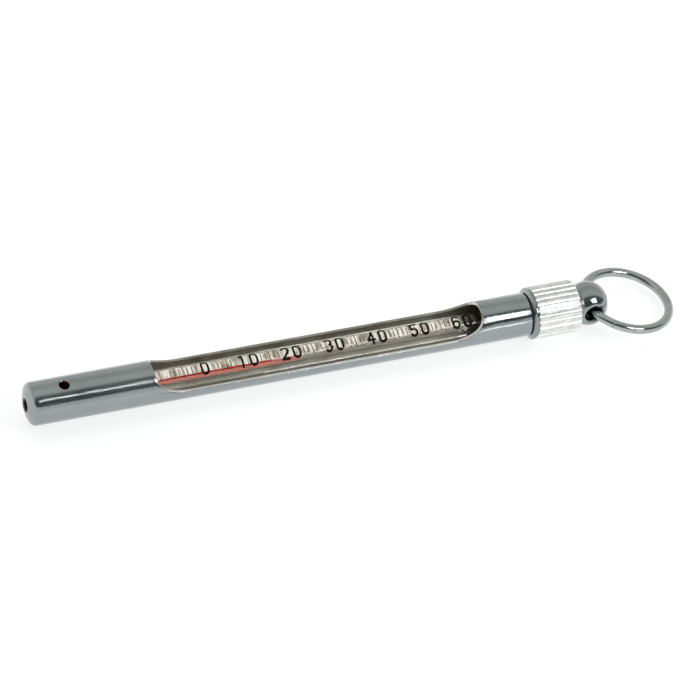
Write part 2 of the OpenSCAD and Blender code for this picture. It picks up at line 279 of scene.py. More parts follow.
# The window is milled with a cutter whose ends run out in a curve, and the vent is drilled. Both are turned
# a few degrees round the tube, and the cutters leave the rims in a finish of their own.
window_x0 = 32.7
window_x1 = 119.8
window_edge = 0.7
window_turn = math.radians(6)
vent_turn = math.radians(9)
runout_len = 9.0
runout_rise = 4.4
vent_station = 9.6
vent_r = 1.35
mill_reach = tube_r + 1
case_tube.data.materials.append(bpy.data.materials.new("chromium_plate"))
case_tube.data.materials.append(bpy.data.materials.new("dull_bore"))
case_tube.data.materials.append(bpy.data.materials.new("milled_edge"))
run = [(runout_len * (1 - math.sin(math.radians(a))), runout_rise * (1 - math.cos(math.radians(a))))
       for a in range(0, 91, 6)]
outline = ([(window_x0 + x, window_edge + z) for x, z in run]
           + [(window_x0, mill_reach), (window_x1, mill_reach)]
           + [(window_x1 - x, window_edge + z) for x, z in reversed(run)])
bpy.ops.object.select_all(action="DESELECT")
bpy.ops.mesh.primitive_circle_add(vertices=len(outline), radius=1, location=(0, 0, 0))
mill = bpy.context.object
for vertex, (station, rise) in zip(mill.data.vertices, outline):
    vertex.co = place(station, -mill_reach, rise)
bpy.ops.object.mode_set(mode="EDIT")
bpy.ops.mesh.select_all(action="SELECT")
bpy.ops.mesh.edge_face_add()
bpy.ops.mesh.extrude_region_move(TRANSFORM_OT_translate={"value": (0, 2 * mill_reach * MM, 0)})
bpy.ops.mesh.select_all(action="SELECT")
bpy.ops.mesh.normals_make_consistent(inside=False)
bpy.ops.object.mode_set(mode="OBJECT")
bpy.ops.object.select_all(action="DESELECT")
bpy.ops.mesh.primitive_cylinder_add(vertices=48, radius=vent_r * MM, depth=tube_r * MM,
                                    location=place(vent_station, 0, tube_r))
drill = bpy.context.object
bpy.ops.object.transform_apply(location=True, rotation=True, scale=True)
for cutter, angle in ((mill, window_turn), (drill, vent_turn)):
    bpy.ops.object.select_all(action="DESELECT")
    cutter.select_set(True)
    bpy.context.view_layer.objects.active = cutter
    bpy.ops.object.mode_set(mode="EDIT")
    bpy.ops.mesh.select_all(action="SELECT")
    bpy.ops.transform.rotate(value=-angle, orient_axis="X", center_override=place(0))
    bpy.ops.object.mode_set(mode="OBJECT")
    cutter.data.materials.append(bpy.data.materials["milled_edge"])
    apply_modifier(case_tube, "BOOLEAN", operation="DIFFERENCE", solver="EXACT", object=cutter,
                   material_mode="TRANSFER")
    bpy.data.objects.remove(cutter)

# The inside of the tube is left dull and stained. The far side of the window's rim is given the same dull,
# darker finish as painted shade.
bore_skin = 0.02
material_names = [material.name for material in case_tube.data.materials]
for face in case_tube.data.polygons:
    station = (face.center.x - tube_low.x) / MM
    from_axis = math.hypot(face.center.y, face.center.z - axis_height) / MM
    under_dome = station > dome_r or math.hypot(station - dome_r, from_axis) < dome_r - tube_wall / 2
    far_rim_painted_shade = material_names[face.material_index] == "milled_edge" and face.center.y > bore_r * 0.8 * MM
    if far_rim_painted_shade or (from_axis < bore_r + bore_skin and under_dome and face.material_index == 0):
        face.material_index = 1
edge_break = 0.17
apply_modifier(case_tube, "BEVEL", width=edge_break * MM, segments=3, limit_method="ANGLE",
               angle_limit=math.radians(40), use_clamp_overlap=False, miter_outer="MITER_ARC")
smooth(case_tube, 35)
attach(case_tube, "case")
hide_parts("case_tube")

# Bright chromium over polished brass: hard grey mirror, slightly blue, with fine draw lines along the tube,
# a soft orange-peel ripple that breaks small lamps into sparks, and a few rubbed, duller patches.
chromium = bpy.data.materials["chromium_plate"]
chromium.use_nodes = True
tree = chromium.node_tree
shader = tree.nodes["Principled BSDF"]
shader.inputs["Metallic"].default_value = 1.0
spot = add(tree, "ShaderNodeTexCoord").outputs["Object"]
rubbed = add(tree, "ShaderNodeTexNoise", {"Scale": 90.0, "Detail": 5.0, "Roughness": 0.6}, {"Vector": spot})
tone = add(tree, "ShaderNodeValToRGB", links={"Fac": rubbed.outputs["Fac"]},
           stops=[(0.3, "#939999"), (0.7, "#9ca2a3")])
gloss = add(tree, "ShaderNodeMapRange", {"From Min": 0.3, "From Max": 0.75, "To Min": 0.07, "To Max": 0.17},
            {"Value": rubbed.outputs["Fac"]})
drawn = add(tree, "ShaderNodeMapping", {"Scale": (0.03, 1.0, 1.0)}, {"Vector": spot})
lines = add(tree, "ShaderNodeTexNoise", {"Scale": 2600.0, "Detail": 2.0}, {"Vector": drawn.outputs["Vector"]})
peel = add(tree, "ShaderNodeTexNoise", {"Scale": 1900.0, "Detail": 3.0, "Roughness": 0.6}, {"Vector": spot})
bump = add(tree, "ShaderNodeBump", {"Strength": 0.20, "Distance": 0.03 * MM},
           {"Height": lines.outputs["Fac"]})
bump = add(tree, "ShaderNodeBump", {"Strength": 0.55, "Distance": 0.05 * MM},
           {"Height": peel.outputs["Fac"], "Normal": bump.outputs["Normal"]})
tree.links.new(tone.outputs["Color"], shader.inputs["Base Color"])
tree.links.new(gloss.outputs["Result"], shader.inputs["Roughness"])
tree.links.new(bump.outputs["Normal"], shader.inputs["Normal"])

# The tube's bore was never polished: brown oxide and thin dull plate, blotchy, with fine lines along it
# left by the drawing mandrel. It looks grey-brown and gives only blurred reflections. On the far side of the
# window's rim it is painted shade.
dull = bpy.data.materials["dull_bore"]
dull.use_nodes = True
tree = dull.node_tree
shader = tree.nodes["Principled BSDF"]
shader.inputs["Metallic"].default_value = 0.85
spot = add(tree, "ShaderNodeTexCoord").outputs["Object"]
blotch = add(tree, "ShaderNodeTexNoise", {"Scale": 160.0, "Detail": 6.0, "Roughness": 0.65}, {"Vector": spot})
tone = add(tree, "ShaderNodeValToRGB", links={"Fac": blotch.outputs["Fac"]},
           stops=[(0.3, "#7d786c"), (0.5, "#9b978d"), (0.75, "#aeaba5")])
gloss = add(tree, "ShaderNodeMapRange", {"To Min": 0.32, "To Max": 0.55}, {"Value": blotch.outputs["Fac"]})
drawn = add(tree, "ShaderNodeMapping", {"Scale": (0.05, 1.0, 1.0)}, {"Vector": spot})
lines = add(tree, "ShaderNodeTexNoise", {"Scale": 1800.0, "Detail": 3.0}, {"Vector": drawn.outputs["Vector"]})
bump = add(tree, "ShaderNodeBump", {"Strength": 0.5, "Distance": 0.05 * MM}, {"Height": lines.outputs["Fac"]})
tree.links.new(tone.outputs["Color"], shader.inputs["Base Color"])
tree.links.new(gloss.outputs["Result"], shader.inputs["Roughness"])
tree.links.new(bump.outputs["Normal"], shader.inputs["Normal"])

# The milled wall: thin plate over cutter marks, paler and warmer than the outside, with fine lines a fifth
# of a mm apart.
milled = bpy.data.materials["milled_edge"]
milled.use_nodes = True
tree = milled.node_tree
shader = tree.nodes["Principled BSDF"]
shader.inputs["Metallic"].default_value = 1.0
spot = add(tree, "ShaderNodeTexCoord").outputs["Object"]
wear = add(tree, "ShaderNodeTexNoise", {"Scale": 300.0, "Detail": 4.0}, {"Vector": spot})
tone = add(tree, "ShaderNodeValToRGB", links={"Fac": wear.outputs["Fac"]},
           stops=[(0.35, "#cfcdc7"), (0.7, "#e4e3e0")])
marks = add(tree, "ShaderNodeTexWave", {"Scale": 1600.0, "Distortion": 2.0, "Detail": 2.0}, {"Vector": spot})
gloss = add(tree, "ShaderNodeMapRange", {"To Min": 0.18, "To Max": 0.34}, {"Value": wear.outputs["Fac"]})
bump = add(tree, "ShaderNodeBump", {"Strength": 0.3, "Distance": 0.02 * MM}, {"Height": marks.outputs["Fac"]})
tree.links.new(tone.outputs["Color"], shader.inputs["Base Color"])
tree.links.new(gloss.outputs["Result"], shader.inputs["Roughness"])
tree.links.new(bump.outputs["Normal"], shader.inputs["Normal"])

# ---- Rubber cushions ----
# Moulded black rubber rings that hold the glass clear of the metal: a seat under the bulb in the domed tip,
# a ring round the stem's foot below the window, and a long thin sleeve round the stem's top in the threaded
# bush. They are nearly black, with a dull grey bloom.
rubber, tree, shader = new_material("black_moulded_rubber", Specular_IOR_Level=0.35)
spot = add(tree, "ShaderNodeTexCoord").outputs["Object"]
bloom = add(tree, "ShaderNodeTexNoise", {"Scale": 350.0, "Detail": 5.0}, {"Vector": spot})
tone = add(tree, "ShaderNodeValToRGB", links={"Fac": bloom.outputs["Fac"]},
           stops=[(0.35, "#171716"), (0.75, "#2b2a28")])
gloss = add(tree, "ShaderNodeMapRange", {"To Min": 0.55, "To Max": 0.8}, {"Value": bloom.outputs["Fac"]})
skin = add(tree, "ShaderNodeTexNoise", {"Scale": 2500.0}, {"Vector": spot})
bump = add(tree, "ShaderNodeBump", {"Strength": 0.3, "Distance": 0.03 * MM}, {"Height": skin.outputs["Fac"]})
tree.links.new(tone.outputs["Color"], shader.inputs["Base Color"])
tree.links.new(gloss.outputs["Result"], shader.inputs["Roughness"])
tree.links.new(bump.outputs["Normal"], shader.inputs["Normal"])


def ring_section(start, end, inner, outer, fillet):
    """A ring's half section with its four corners rounded."""
    corners = [(start, outer, 180, 90), (end, outer, 90, 0), (end, inner, 0, -90), (start, inner, -90, -180)]
    made = []
    for station, radius, first, last in corners:
        centre = (station + (fillet if station == start else -fillet),
                  radius + (fillet if radius == inner else -fillet))
        made += arc(*centre, fillet, first, last, 4)
    return made + [made[0]]


seat_r = 2.2
stem_hole_r = 2.75
cushions = [("tip_cushion", seat_r, 0.35), ("stem_cushion", stem_hole_r, 0.4),
            ("top_cushion", stem_hole_r, 0.15)]
for node, hole_r, fillet in cushions:
    low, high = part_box(node)
    section = ring_section((low.x - tube_low.x) / MM, (high.x - tube_low.x) / MM, hole_r, high.y / MM, fillet)
    cushion = turned("rubber_" + node, section, 64)
    cushion.data.materials.append(rubber)
    smooth(cushion)
    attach(cushion, "case")
    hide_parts(node)

# ---- Thermometer glass ----
# A solid lead-glass stem, drawn with a capillary 0.3 mm across down its middle, and fused at its foot to a
# thin blown bulb. Its top is melted round. The round stem magnifies the capillary, and fine cords left by
# the drawing break up what is seen through it.
stem_r = 2.7
stem_foot = 19.5
stem_top = 142.2
capillary_r = 0.15
zero_station = 46.7
ten_degrees = 11.42
reading = 22.5
level = zero_station + reading / 10 * ten_degrees
glass, tree, shader = new_material("clear_lead_glass", Roughness=0.02, IOR=1.5, Transmission_Weight=1.0)
spot = add(tree, "ShaderNodeTexCoord").outputs["Object"]
drawn = add(tree, "ShaderNodeMapping", {"Scale": (0.04, 1.0, 1.0)}, {"Vector": spot})
cords = add(tree, "ShaderNodeTexNoise", {"Scale": 500.0, "Detail": 2.0}, {"Vector": drawn.outputs["Vector"]})
bump = add(tree, "ShaderNodeBump", {"Strength": 0.15, "Distance": 0.03 * MM},
           {"Height": cords.outputs["Fac"]})
tint = add(tree, "ShaderNodeValToRGB", links={"Fac": cords.outputs["Fac"]},
           stops=[(0.3, "#f4f7f4"), (0.7, "#fbfcfb")])
tree.links.new(tint.outputs["Color"], shader.inputs["Base Color"])
tree.links.new(bump.outputs["Normal"], shader.inputs["Normal"])

# The empty part of the capillary is dulled by a thin brown film that the spirit left. It is drawn as an
# opaque skin, which reads as a grey-brown thread above the column.
film, tree, shader = new_material("spirit_film_on_glass", Specular_IOR_Level=0.3)
spot = add(tree, "ShaderNodeTexCoord").outputs["Object"]
drops = add(tree, "ShaderNodeTexNoise", {"Scale": 1500.0, "Detail": 3.0}, {"Vector": spot})
tone = add(tree, "ShaderNodeValToRGB", links={"Fac": drops.outputs["Fac"]},
           stops=[(0.35, "#7a6a5a"), (0.6, "#b3aa9b")])
gloss = add(tree, "ShaderNodeMapRange", {"To Min": 0.35, "To Max": 0.6}, {"Value": drops.outputs["Fac"]})
tree.links.new(tone.outputs["Color"], shader.inputs["Base Color"])
tree.links.new(gloss.outputs["Result"], shader.inputs["Roughness"])

ball_end = stem_top - stem_r
stations = [stem_foot + (ball_end - stem_foot) * i / 12 for i in range(13)]
section = ([(stem_foot, stem_r - 0.2), (stem_foot + 0.06, stem_r - 0.06), (stem_foot + 0.2, stem_r)]
           + [(s, stem_r) for s in stations[1:]]
           + arc(ball_end, 0, stem_r, 90, 3, 10)[1:] + [(stem_top, 0.0)])
glass_stem = turned("glass_stem_rod", section, 96)
bore_start = level + 0.1
bore_stop = ball_end - 3
turned("empty_bore", [(bore_start, 0.02), (bore_start, capillary_r), (bore_stop, capillary_r),
                      (bore_stop, 0.02)], 24)
bpy.ops.object.mode_set(mode="EDIT")
bpy.ops.mesh.select_all(action="SELECT")
bpy.ops.mesh.flip_normals()
bpy.ops.object.mode_set(mode="OBJECT")
glass_stem.select_set(True)
bpy.context.view_layer.objects.active = glass_stem
bpy.ops.object.join()
glass_stem.data.materials.append(glass)
glass_stem.data.materials.append(film)
for face in glass_stem.data.polygons:
    off = face.center - place((face.center.x - tube_low.x) / MM)
    if off.length < capillary_r * 1.2 * MM and face.center.x < place(bore_stop + 0.1).x:
        face.material_index = 1
smooth(glass_stem, 40)

# Clear glass hardly darkens what is behind it, so the stem throws no shadow on its enamel and ink.
glass_stem.visible_shadow = False
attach(glass_stem, "glass")
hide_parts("glass_stem")

bulb_r = 2.8
bulb_inner_r = 2.3
seat_station = 4.0
seat_gap = 0.1
bulb_centre = seat_station + math.sqrt(bulb_r ** 2 - seat_r ** 2) + seat_gap
section = (arc(bulb_centre, 0, bulb_r, 178, 90, 12)
           + [(17.5, bulb_r), (18.6, 2.75), (19.4, stem_r), (19.4, capillary_r)]
           + [(17.5, bulb_inner_r - 0.1), (16.9, bulb_inner_r)]
           + arc(bulb_centre, 0, bulb_inner_r, 90, 178, 12))
section.append(section[0])
glass_bulb = turned("glass_bulb_blown", section, 64)
glass_bulb.data.materials.append(glass)
smooth(glass_bulb, 40)
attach(glass_bulb, "glass")
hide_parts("glass_bulb")

# ---- Spirit ----
# Alcohol dyed deep red fills the bulb and stands in the capillary up to the reading, where it ends in a
# hollow meniscus. It looks solid red, and a faint painted glow keeps it bright behind the glass.
spirit, tree, shader = new_material("dyed_spirit", Roughness=0.15, IOR=1.36, Emission_Strength=0.05)
spot = add(tree, "ShaderNodeTexCoord").outputs["Object"]
depth = add(tree, "ShaderNodeTexNoise", {"Scale": 400.0, "Detail": 2.0}, {"Vector": spot})
tone = add(tree, "ShaderNodeValToRGB", links={"Fac": depth.outputs["Fac"]},
           stops=[(0.3, "#a3100b"), (0.7, "#c92619")])
tree.links.new(tone.outputs["Color"], shader.inputs["Base Color"])
tree.links.new(tone.outputs["Color"], shader.inputs["Emission Color"])
fill_r = bulb_inner_r - 0.03
neck = 19.3
section = (arc(bulb_centre, 0, fill_r, 178, 90, 12)
           + [(16.8, fill_r), (17.4, fill_r - 0.15), (neck, capillary_r)]
           + [(neck + (level - neck) * i / 8, capillary_r) for i in range(1, 9)]
           + [(level + 0.06, capillary_r * 0.97), (level - 0.04, capillary_r * 0.5), (level - 0.07, 0.0)])
red_spirit = turned("red_spirit_fill", section, 48)
red_spirit.data.materials.append(spirit)
smooth(red_spirit, 45)
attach(red_spirit, "glass")
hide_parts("red_spirit")

# ---- Enamel strip ----
# A flat ribbon of white enamel fused into the glass behind the capillary, so that the column is easy to
# read. It was drawn out with the stem, so its edges are round. Streaks across it are painted shadows of the
# printed marks, and it turns grey along its near edge. Beside the red column it has a painted red
# reflection, and a painted glow stands in for the light that the glass gathers onto it.
scale_turn = math.radians(18.5)
enamel_low, enamel_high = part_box("enamel_back")
enamel_w = 1.8
enamel_shift = 0.6
enamel_t = 0.35
enamel_back_off = 0.6
# Its emission is a painted glow, standing in for the light that the glass gathers onto it.
enamel, tree, shader = new_material("fused_white_enamel", Specular_IOR_Level=0.3, Emission_Strength=0.32)
spot = add(tree, "ShaderNodeTexCoord").outputs["Object"]
flat = add(tree, "ShaderNodeMapping", {"Location": place(0), "Rotation": (scale_turn, 0, 0)},
           {"Vector": spot}, vector_type="TEXTURE")
split = add(tree, "ShaderNodeSeparateXYZ", links={"Vector": flat.outputs["Vector"]})
cloud = add(tree, "ShaderNodeTexNoise", {"Scale": 700.0, "Detail": 4.0}, {"Vector": spot})
tone = add(tree, "ShaderNodeValToRGB", links={"Fac": cloud.outputs["Fac"]},
           stops=[(0.38, "#a89d8e"), (0.5, "#e9e2d4"), (0.62, "#fbf8ef")])
# Streaks across the ribbon, stretched round it: painted shadows of the printed marks.
mark_shadow_stretch = add(tree, "ShaderNodeMapping", {"Scale": (1.0, 0.12, 0.12)}, {"Vector": flat.outputs["Vector"]})
mark_shadow_noise = add(tree, "ShaderNodeTexNoise", {"Scale": 1900.0, "Detail": 2.0},
             {"Vector": mark_shadow_stretch.outputs["Vector"]})
painted_mark_shadow = add(tree, "ShaderNodeValToRGB", links={"Fac": mark_shadow_noise.outputs["Fac"]},
          stops=[(0.38, "#8b7c6d"), (0.54, "#ffffff")])
with_mark_shadows = add(tree, "ShaderNodeMix", {"Factor": 0.6},
               {"A": tone.outputs["Color"], "B": painted_mark_shadow.outputs["Color"]}, data_type="RGBA",
               blend_type="MULTIPLY")
# The ribbon turns grey towards its near edge.
near_edge_mask = add(tree, "ShaderNodeMapRange",
           {"From Min": -0.05 * MM, "From Max": 0.3 * MM, "To Min": 1.0, "To Max": 0.0},
           {"Value": split.outputs["Y"]})
grey_near_edge = add(tree, "ShaderNodeMix", {"B": linear("#80796f")}, {"A": with_mark_shadows.outputs["Result"]},
            data_type="RGBA")
tree.links.new(near_edge_mask.outputs["Result"], grey_near_edge.inputs["Factor"])
patchy = add(tree, "ShaderNodeMapRange", {"From Min": 0.35, "From Max": 0.65, "To Min": 0.35, "To Max": 0.85},
             {"Value": mark_shadow_noise.outputs["Fac"]})
# A painted red reflection of the column: patchy, beside the capillary and up to the reading.
beside = add(tree, "ShaderNodeMapRange", {"From Min": -0.1 * MM, "From Max": 0.45 * MM, "To Max": 0.0},
             {"Value": split.outputs["Y"]})
tree.links.new(patchy.outputs["Result"], beside.inputs["To Min"])
below = add(tree, "ShaderNodeMapRange",
            {"From Min": (level - 1) * MM, "From Max": level * MM, "To Min": 1.0, "To Max": 0.0},
            {"Value": split.outputs["X"]})
painted_red_reflection = add(tree, "ShaderNodeMath", links={0: beside.outputs[0], 1: below.outputs[0]}, operation="MULTIPLY")
red_reflected_enamel = add(tree, "ShaderNodeMix", {"B": linear("#e2644a")}, {"A": grey_near_edge.outputs["Result"]},
             data_type="RGBA")
tree.links.new(painted_red_reflection.outputs[0], red_reflected_enamel.inputs["Factor"])
gloss = add(tree, "ShaderNodeMapRange", {"To Min": 0.3, "To Max": 0.5}, {"Value": cloud.outputs["Fac"]})
tree.links.new(red_reflected_enamel.outputs["Result"], shader.inputs["Base Color"])
tree.links.new(red_reflected_enamel.outputs["Result"], shader.inputs["Emission Color"])
tree.links.new(gloss.outputs["Result"], shader.inputs["Roughness"])

bpy.ops.object.select_all(action="DESELECT")
bpy.ops.mesh.primitive_cube_add(size=1)
enamel_strip = bpy.context.object
enamel_strip.name = "enamel_ribbon"
enamel_strip.scale = (enamel_high.x - enamel_low.x, enamel_w * MM, enamel_t * MM)
enamel_strip.location = (0, enamel_shift * MM, -(enamel_back_off + enamel_t / 2) * MM)
bpy.ops.object.transform_apply(location=True, rotation=True, scale=True)
enamel_strip.location = ((enamel_low.x + enamel_high.x) / 2, 0, axis_height)
enamel_strip.rotation_euler = (scale_turn, 0, 0)
bpy.ops.object.transform_apply(location=True, rotation=True, scale=True)
apply_modifier(enamel_strip, "BEVEL", width=0.15 * MM, segments=4, limit_method="ANGLE")
smooth(enamel_strip)
enamel_strip.data.materials.append(enamel)
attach(enamel_strip, "glass")
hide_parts("enamel_back")

# ---- Printed scale ----
# Ceramic ink, screened on the outside of the glass and fired: black numerals at each ten degrees, and
# browner, thinner ink for the long mark at each five and the short one at each degree. It is grainy and
# matt. The numerals and marks keep the shapes that the CAD gives them.
printed = {"scale_numerals": ("fired_black_ink", "#060505", "#14100e"),
           "scale_long_marks": ("fired_brown_ink", "#2b211b", "#41342b"),
           "scale_degree_marks": ("fired_thin_ink", "#4a3c32", "#66564a")}
for node, (ink_name, dark, pale) in printed.items():
    ink, tree, shader = new_material(ink_name, Specular_IOR_Level=0.15)
    spot = add(tree, "ShaderNodeTexCoord").outputs["Object"]
    grain = add(tree, "ShaderNodeTexNoise", {"Scale": 3000.0, "Detail": 3.0}, {"Vector": spot})
    tone = add(tree, "ShaderNodeValToRGB", links={"Fac": grain.outputs["Fac"]},
               stops=[(0.35, dark), (0.75, pale)])
    gloss = add(tree, "ShaderNodeMapRange", {"To Min": 0.6, "To Max": 0.8}, {"Value": grain.outputs["Fac"]})
    bump = add(tree, "ShaderNodeBump", {"Strength": 0.4, "Distance": 0.01 * MM},
               {"Height": grain.outputs["Fac"]})
    tree.links.new(tone.outputs["Color"], shader.inputs["Base Color"])
    tree.links.new(gloss.outputs["Result"], shader.inputs["Roughness"])
    tree.links.new(bump.outputs["Normal"], shader.inputs["Normal"])
    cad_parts[node].data.materials.clear()
    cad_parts[node].data.materials.append(ink)

# ---- Threaded bush ----
# A turned brass bush, soldered in the tube's mouth, with a fine screw thread cut on its spigot. The thread
# is one V-shaped ridge wound round it, and stays yellow brass, a little stained, because the cap covers it.
bush_low, bush_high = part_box("thread_bush")
bush_x0 = (bush_low.x - tube_low.x) / MM
bush_x1 = (bush_high.x - tube_low.x) / MM
root_r = 4.3
crest_r = 4.7
pitch = 0.75
brass, tree, shader = new_material("turned_brass", Metallic=1.0)
spot = add(tree, "ShaderNodeTexCoord").outputs["Object"]
stain = add(tree, "ShaderNodeTexNoise", {"Scale": 220.0, "Detail": 4.0}, {"Vector": spot})
tone = add(tree, "ShaderNodeValToRGB", links={"Fac": stain.outputs["Fac"]},
           stops=[(0.3, "#b08d4c"), (0.7, "#d3b673")])
gloss = add(tree, "ShaderNodeMapRange", {"To Min": 0.2, "To Max": 0.38}, {"Value": stain.outputs["Fac"]})
cuts = add(tree, "ShaderNodeTexWave", {"Scale": 2400.0, "Distortion": 0.6}, {"Vector": spot})
bump = add(tree, "ShaderNodeBump", {"Strength": 0.2, "Distance": 0.02 * MM}, {"Height": cuts.outputs["Fac"]})
tree.links.new(tone.outputs["Color"], shader.inputs["Base Color"])
tree.links.new(gloss.outputs["Result"], shader.inputs["Roughness"])
tree.links.new(bump.outputs["Normal"], shader.inputs["Normal"])

bush_r = bore_r - 0.005
bush_bore_r = 3.6
section = [(bush_x0, bush_bore_r), (bush_x0, bore_r - 0.15), (bush_x0 + 0.15, bush_r), (tube_end, bush_r),
           (tube_end, root_r), (bush_x1 - 0.25, root_r), (bush_x1, root_r - 0.25),
           (bush_x1, bush_bore_r + 0.15), (bush_x1 - 0.15, bush_bore_r), (bush_x0, bush_bore_r)]
bush = turned("threaded_bush_sleeve", section, 96)
thread_x0 = tube_end + 1.1
thread_run_out = 0.4
thread_turns = int((bush_x1 - thread_run_out - thread_x0) / pitch)
bpy.ops.object.select_all(action="DESELECT")
bpy.ops.mesh.primitive_circle_add(vertices=3, radius=1, location=place(thread_x0))
thread = bpy.context.object
ridge_foot_r = root_r - 0.06
ridge = [(-pitch / 2, ridge_foot_r), (0, crest_r), (pitch / 2, ridge_foot_r)]
for vertex, (shift, radius) in zip(thread.data.vertices, ridge):
    vertex.co = (shift * MM, 0, radius * MM)
apply_modifier(thread, "SCREW", axis="X", screw_offset=pitch * MM, iterations=thread_turns, steps=64,
               render_steps=64)
bpy.ops.object.mode_set(mode="EDIT")
bpy.ops.mesh.select_all(action="SELECT")
bpy.ops.mesh.remove_doubles(threshold=1e-6)
bpy.ops.mesh.fill_holes(sides=0)
bpy.ops.mesh.normals_make_consistent(inside=False)
bpy.ops.object.mode_set(mode="OBJECT")
bpy.ops.object.transform_apply(location=True, rotation=True, scale=True)
bush.select_set(True)
bpy.context.view_layer.objects.active = bush
bpy.ops.object.join()
bush.data.materials.append(brass)
smooth(bush, 25)
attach(bush, "case")
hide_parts("thread_bush")

# A thin washer of dark vulcanised fibre between the tube's mouth and the cap, squeezed a little round at
# its rim. It is as black and as dull as the rubber, so it shares that material.
low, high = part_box("mouth_washer")
section = ring_section((low.x - tube_low.x) / MM, (high.x - tube_low.x) / MM, crest_r + 0.05, high.y / MM,
                       0.12)
washer = turned("fibre_mouth_washer", section, 96)
washer.data.materials.append(rubber)
smooth(washer)
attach(washer, "case")
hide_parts("mouth_washer")

# ---- Cap ----
# Turned from brass bar: a bevelled lip, a narrow groove behind it, and a coarse straight knurl whose ribs
# run to the chamfered end. It is plated with bright nickel, whiter and softer than the tube, but its
# polished lip and groove mirror the room as darkly as the tube does.
cap_low, cap_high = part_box("knurled_cap")
cap_x0 = (cap_low.x - tube_low.x) / MM
cap_x1 = (cap_high.x - tube_low.x) / MM
cap_r = cap_high.y / MM
cap_bore_r = 4.76
cap_floor = cap_x1 - 3.0
shank_hole_r = 1.0
lip_len = 1.12
ribs = 28
steps_per_rib = 12
knurl_x0 = cap_x0 + 1.2
section = [(cap_x0, cap_bore_r + 0.12), (cap_x0, 5.5), (cap_x0 + 0.08, 5.62), (cap_x0 + 0.42, 6.44),
           (cap_x0 + 0.5, 6.53), (cap_x0 + 0.6, 6.56), (cap_x0 + 0.72, 6.55), (cap_x0 + 0.8, 6.46),
           (cap_x0 + 0.86, 6.22), (cap_x0 + 1.04, 6.2), (cap_x0 + 1.1, 6.3),
           (knurl_x0, 6.5), (knurl_x0 + 0.08, 6.57), (knurl_x0 + 0.2, cap_r), (cap_x1 - 4, cap_r),
           (cap_x1 - 0.6, cap_r), (cap_x1 - 0.42, 6.55), (cap_x1 - 0.24, 6.43), (cap_x1 - 0.1, 6.26),
           (cap_x1, 6.0), (cap_x1, shank_hole_r), (cap_floor, shank_hole_r), (cap_floor, cap_bore_r),
           (cap_x0 + 0.14, cap_bore_r), (cap_x0, cap_bore_r + 0.12)]
knurl_rings = section[11:19]
cap = turned("knurled_screw_cap", section, ribs * steps_per_rib)

# The knurl's grooves are pressed in ring by ring: groove_half is half a groove's width, in steps of the
# twelve that each rib has round the cap.
groove_depth = 0.32
groove_half = 3.4
bpy.ops.object.mode_set(mode="EDIT")
for step in range(math.ceil(groove_half)):
    floor_r = cap_r - groove_depth * math.sqrt(1 - (step / groove_half) ** 2)
    for station, ring_r in knurl_rings:
        if ring_r <= floor_r:
            continue
        bpy.ops.mesh.select_all(action="DESELECT")
        bpy.ops.object.mode_set(mode="OBJECT")
        for vertex in cap.data.vertices:
            off = vertex.co - place(station)
            if abs(off.x) > 1e-6 or abs(math.hypot(off.y, off.z) - ring_r * MM) > 1e-5:
                continue
            turn_steps = round(math.atan2(off.y, off.z) / math.tau * ribs * steps_per_rib)
            from_groove = abs((turn_steps + steps_per_rib) % steps_per_rib - steps_per_rib // 2)
            vertex.select = from_groove == step
        bpy.ops.object.mode_set(mode="EDIT")
        bpy.ops.transform.resize(value=(1, floor_r / ring_r, floor_r / ring_r),
                                 center_override=place(station))
bpy.ops.object.mode_set(mode="OBJECT")
smooth(cap, 28)
nickel, tree, shader = new_material("bright_nickel_plate", Metallic=1.0)
spot = add(tree, "ShaderNodeTexCoord").outputs["Object"]
haze = add(tree, "ShaderNodeTexNoise", {"Scale": 500.0, "Detail": 5.0}, {"Vector": spot})
tone = add(tree, "ShaderNodeValToRGB", links={"Fac": haze.outputs["Fac"]},
           stops=[(0.3, "#cfd1cf"), (0.7, "#ecedeb")])
gloss = add(tree, "ShaderNodeMapRange", {"To Min": 0.2, "To Max": 0.42}, {"Value": haze.outputs["Fac"]})
pits = add(tree, "ShaderNodeTexNoise", {"Scale": 1600.0, "Detail": 4.0, "Roughness": 0.7}, {"Vector": spot})
bump = add(tree, "ShaderNodeBump", {"Strength": 0.5, "Distance": 0.06 * MM}, {"Height": pits.outputs["Fac"]})
tree.links.new(tone.outputs["Color"], shader.inputs["Base Color"])
tree.links.new(gloss.outputs["Result"], shader.inputs["Roughness"])
tree.links.new(bump.outputs["Normal"], shader.inputs["Normal"])
cap.data.materials.append(nickel)
cap.data.materials.append(chromium)
for face in cap.data.polygons:
    if face.center.x < cap_low.x + lip_len * MM:
        face.material_index = 1
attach(cap, "cap")
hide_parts("knurled_cap")

# A disc punched from agglomerated cork lies loose in the cap and presses on the glass: pale and dark
# granules.
pad_low, pad_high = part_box("cap_pad")
pad_x0 = (pad_low.x - tube_low.x) / MM
pad_x1 = (pad_high.x - tube_low.x) / MM
pad_r = pad_high.y / MM
section = [(pad_x0, 0.05), (pad_x0 + 0.02, pad_r * 0.6), (pad_x0 + 0.06, pad_r - 0.12),
           (pad_x0 + 0.18, pad_r), (pad_x1 - 0.18, pad_r), (pad_x1 - 0.06, pad_r - 0.12),
           (pad_x1 - 0.02, pad_r * 0.6), (pad_x1, 0.05)]
cork_disc = turned("cork_cap_disc", section, 64)
cork, tree, shader = new_material("agglomerated_cork", Specular_IOR_Level=0.2)
spot = add(tree, "ShaderNodeTexCoord").outputs["Object"]
granules = add(tree, "ShaderNodeTexVoronoi", {"Scale": 1300.0}, {"Vector": spot})
tone = add(tree, "ShaderNodeValToRGB", links={"Fac": granules.outputs["Color"]},
           stops=[(0.1, "#6d4526"), (0.45, "#a97b4c"), (0.9, "#c39a68")])
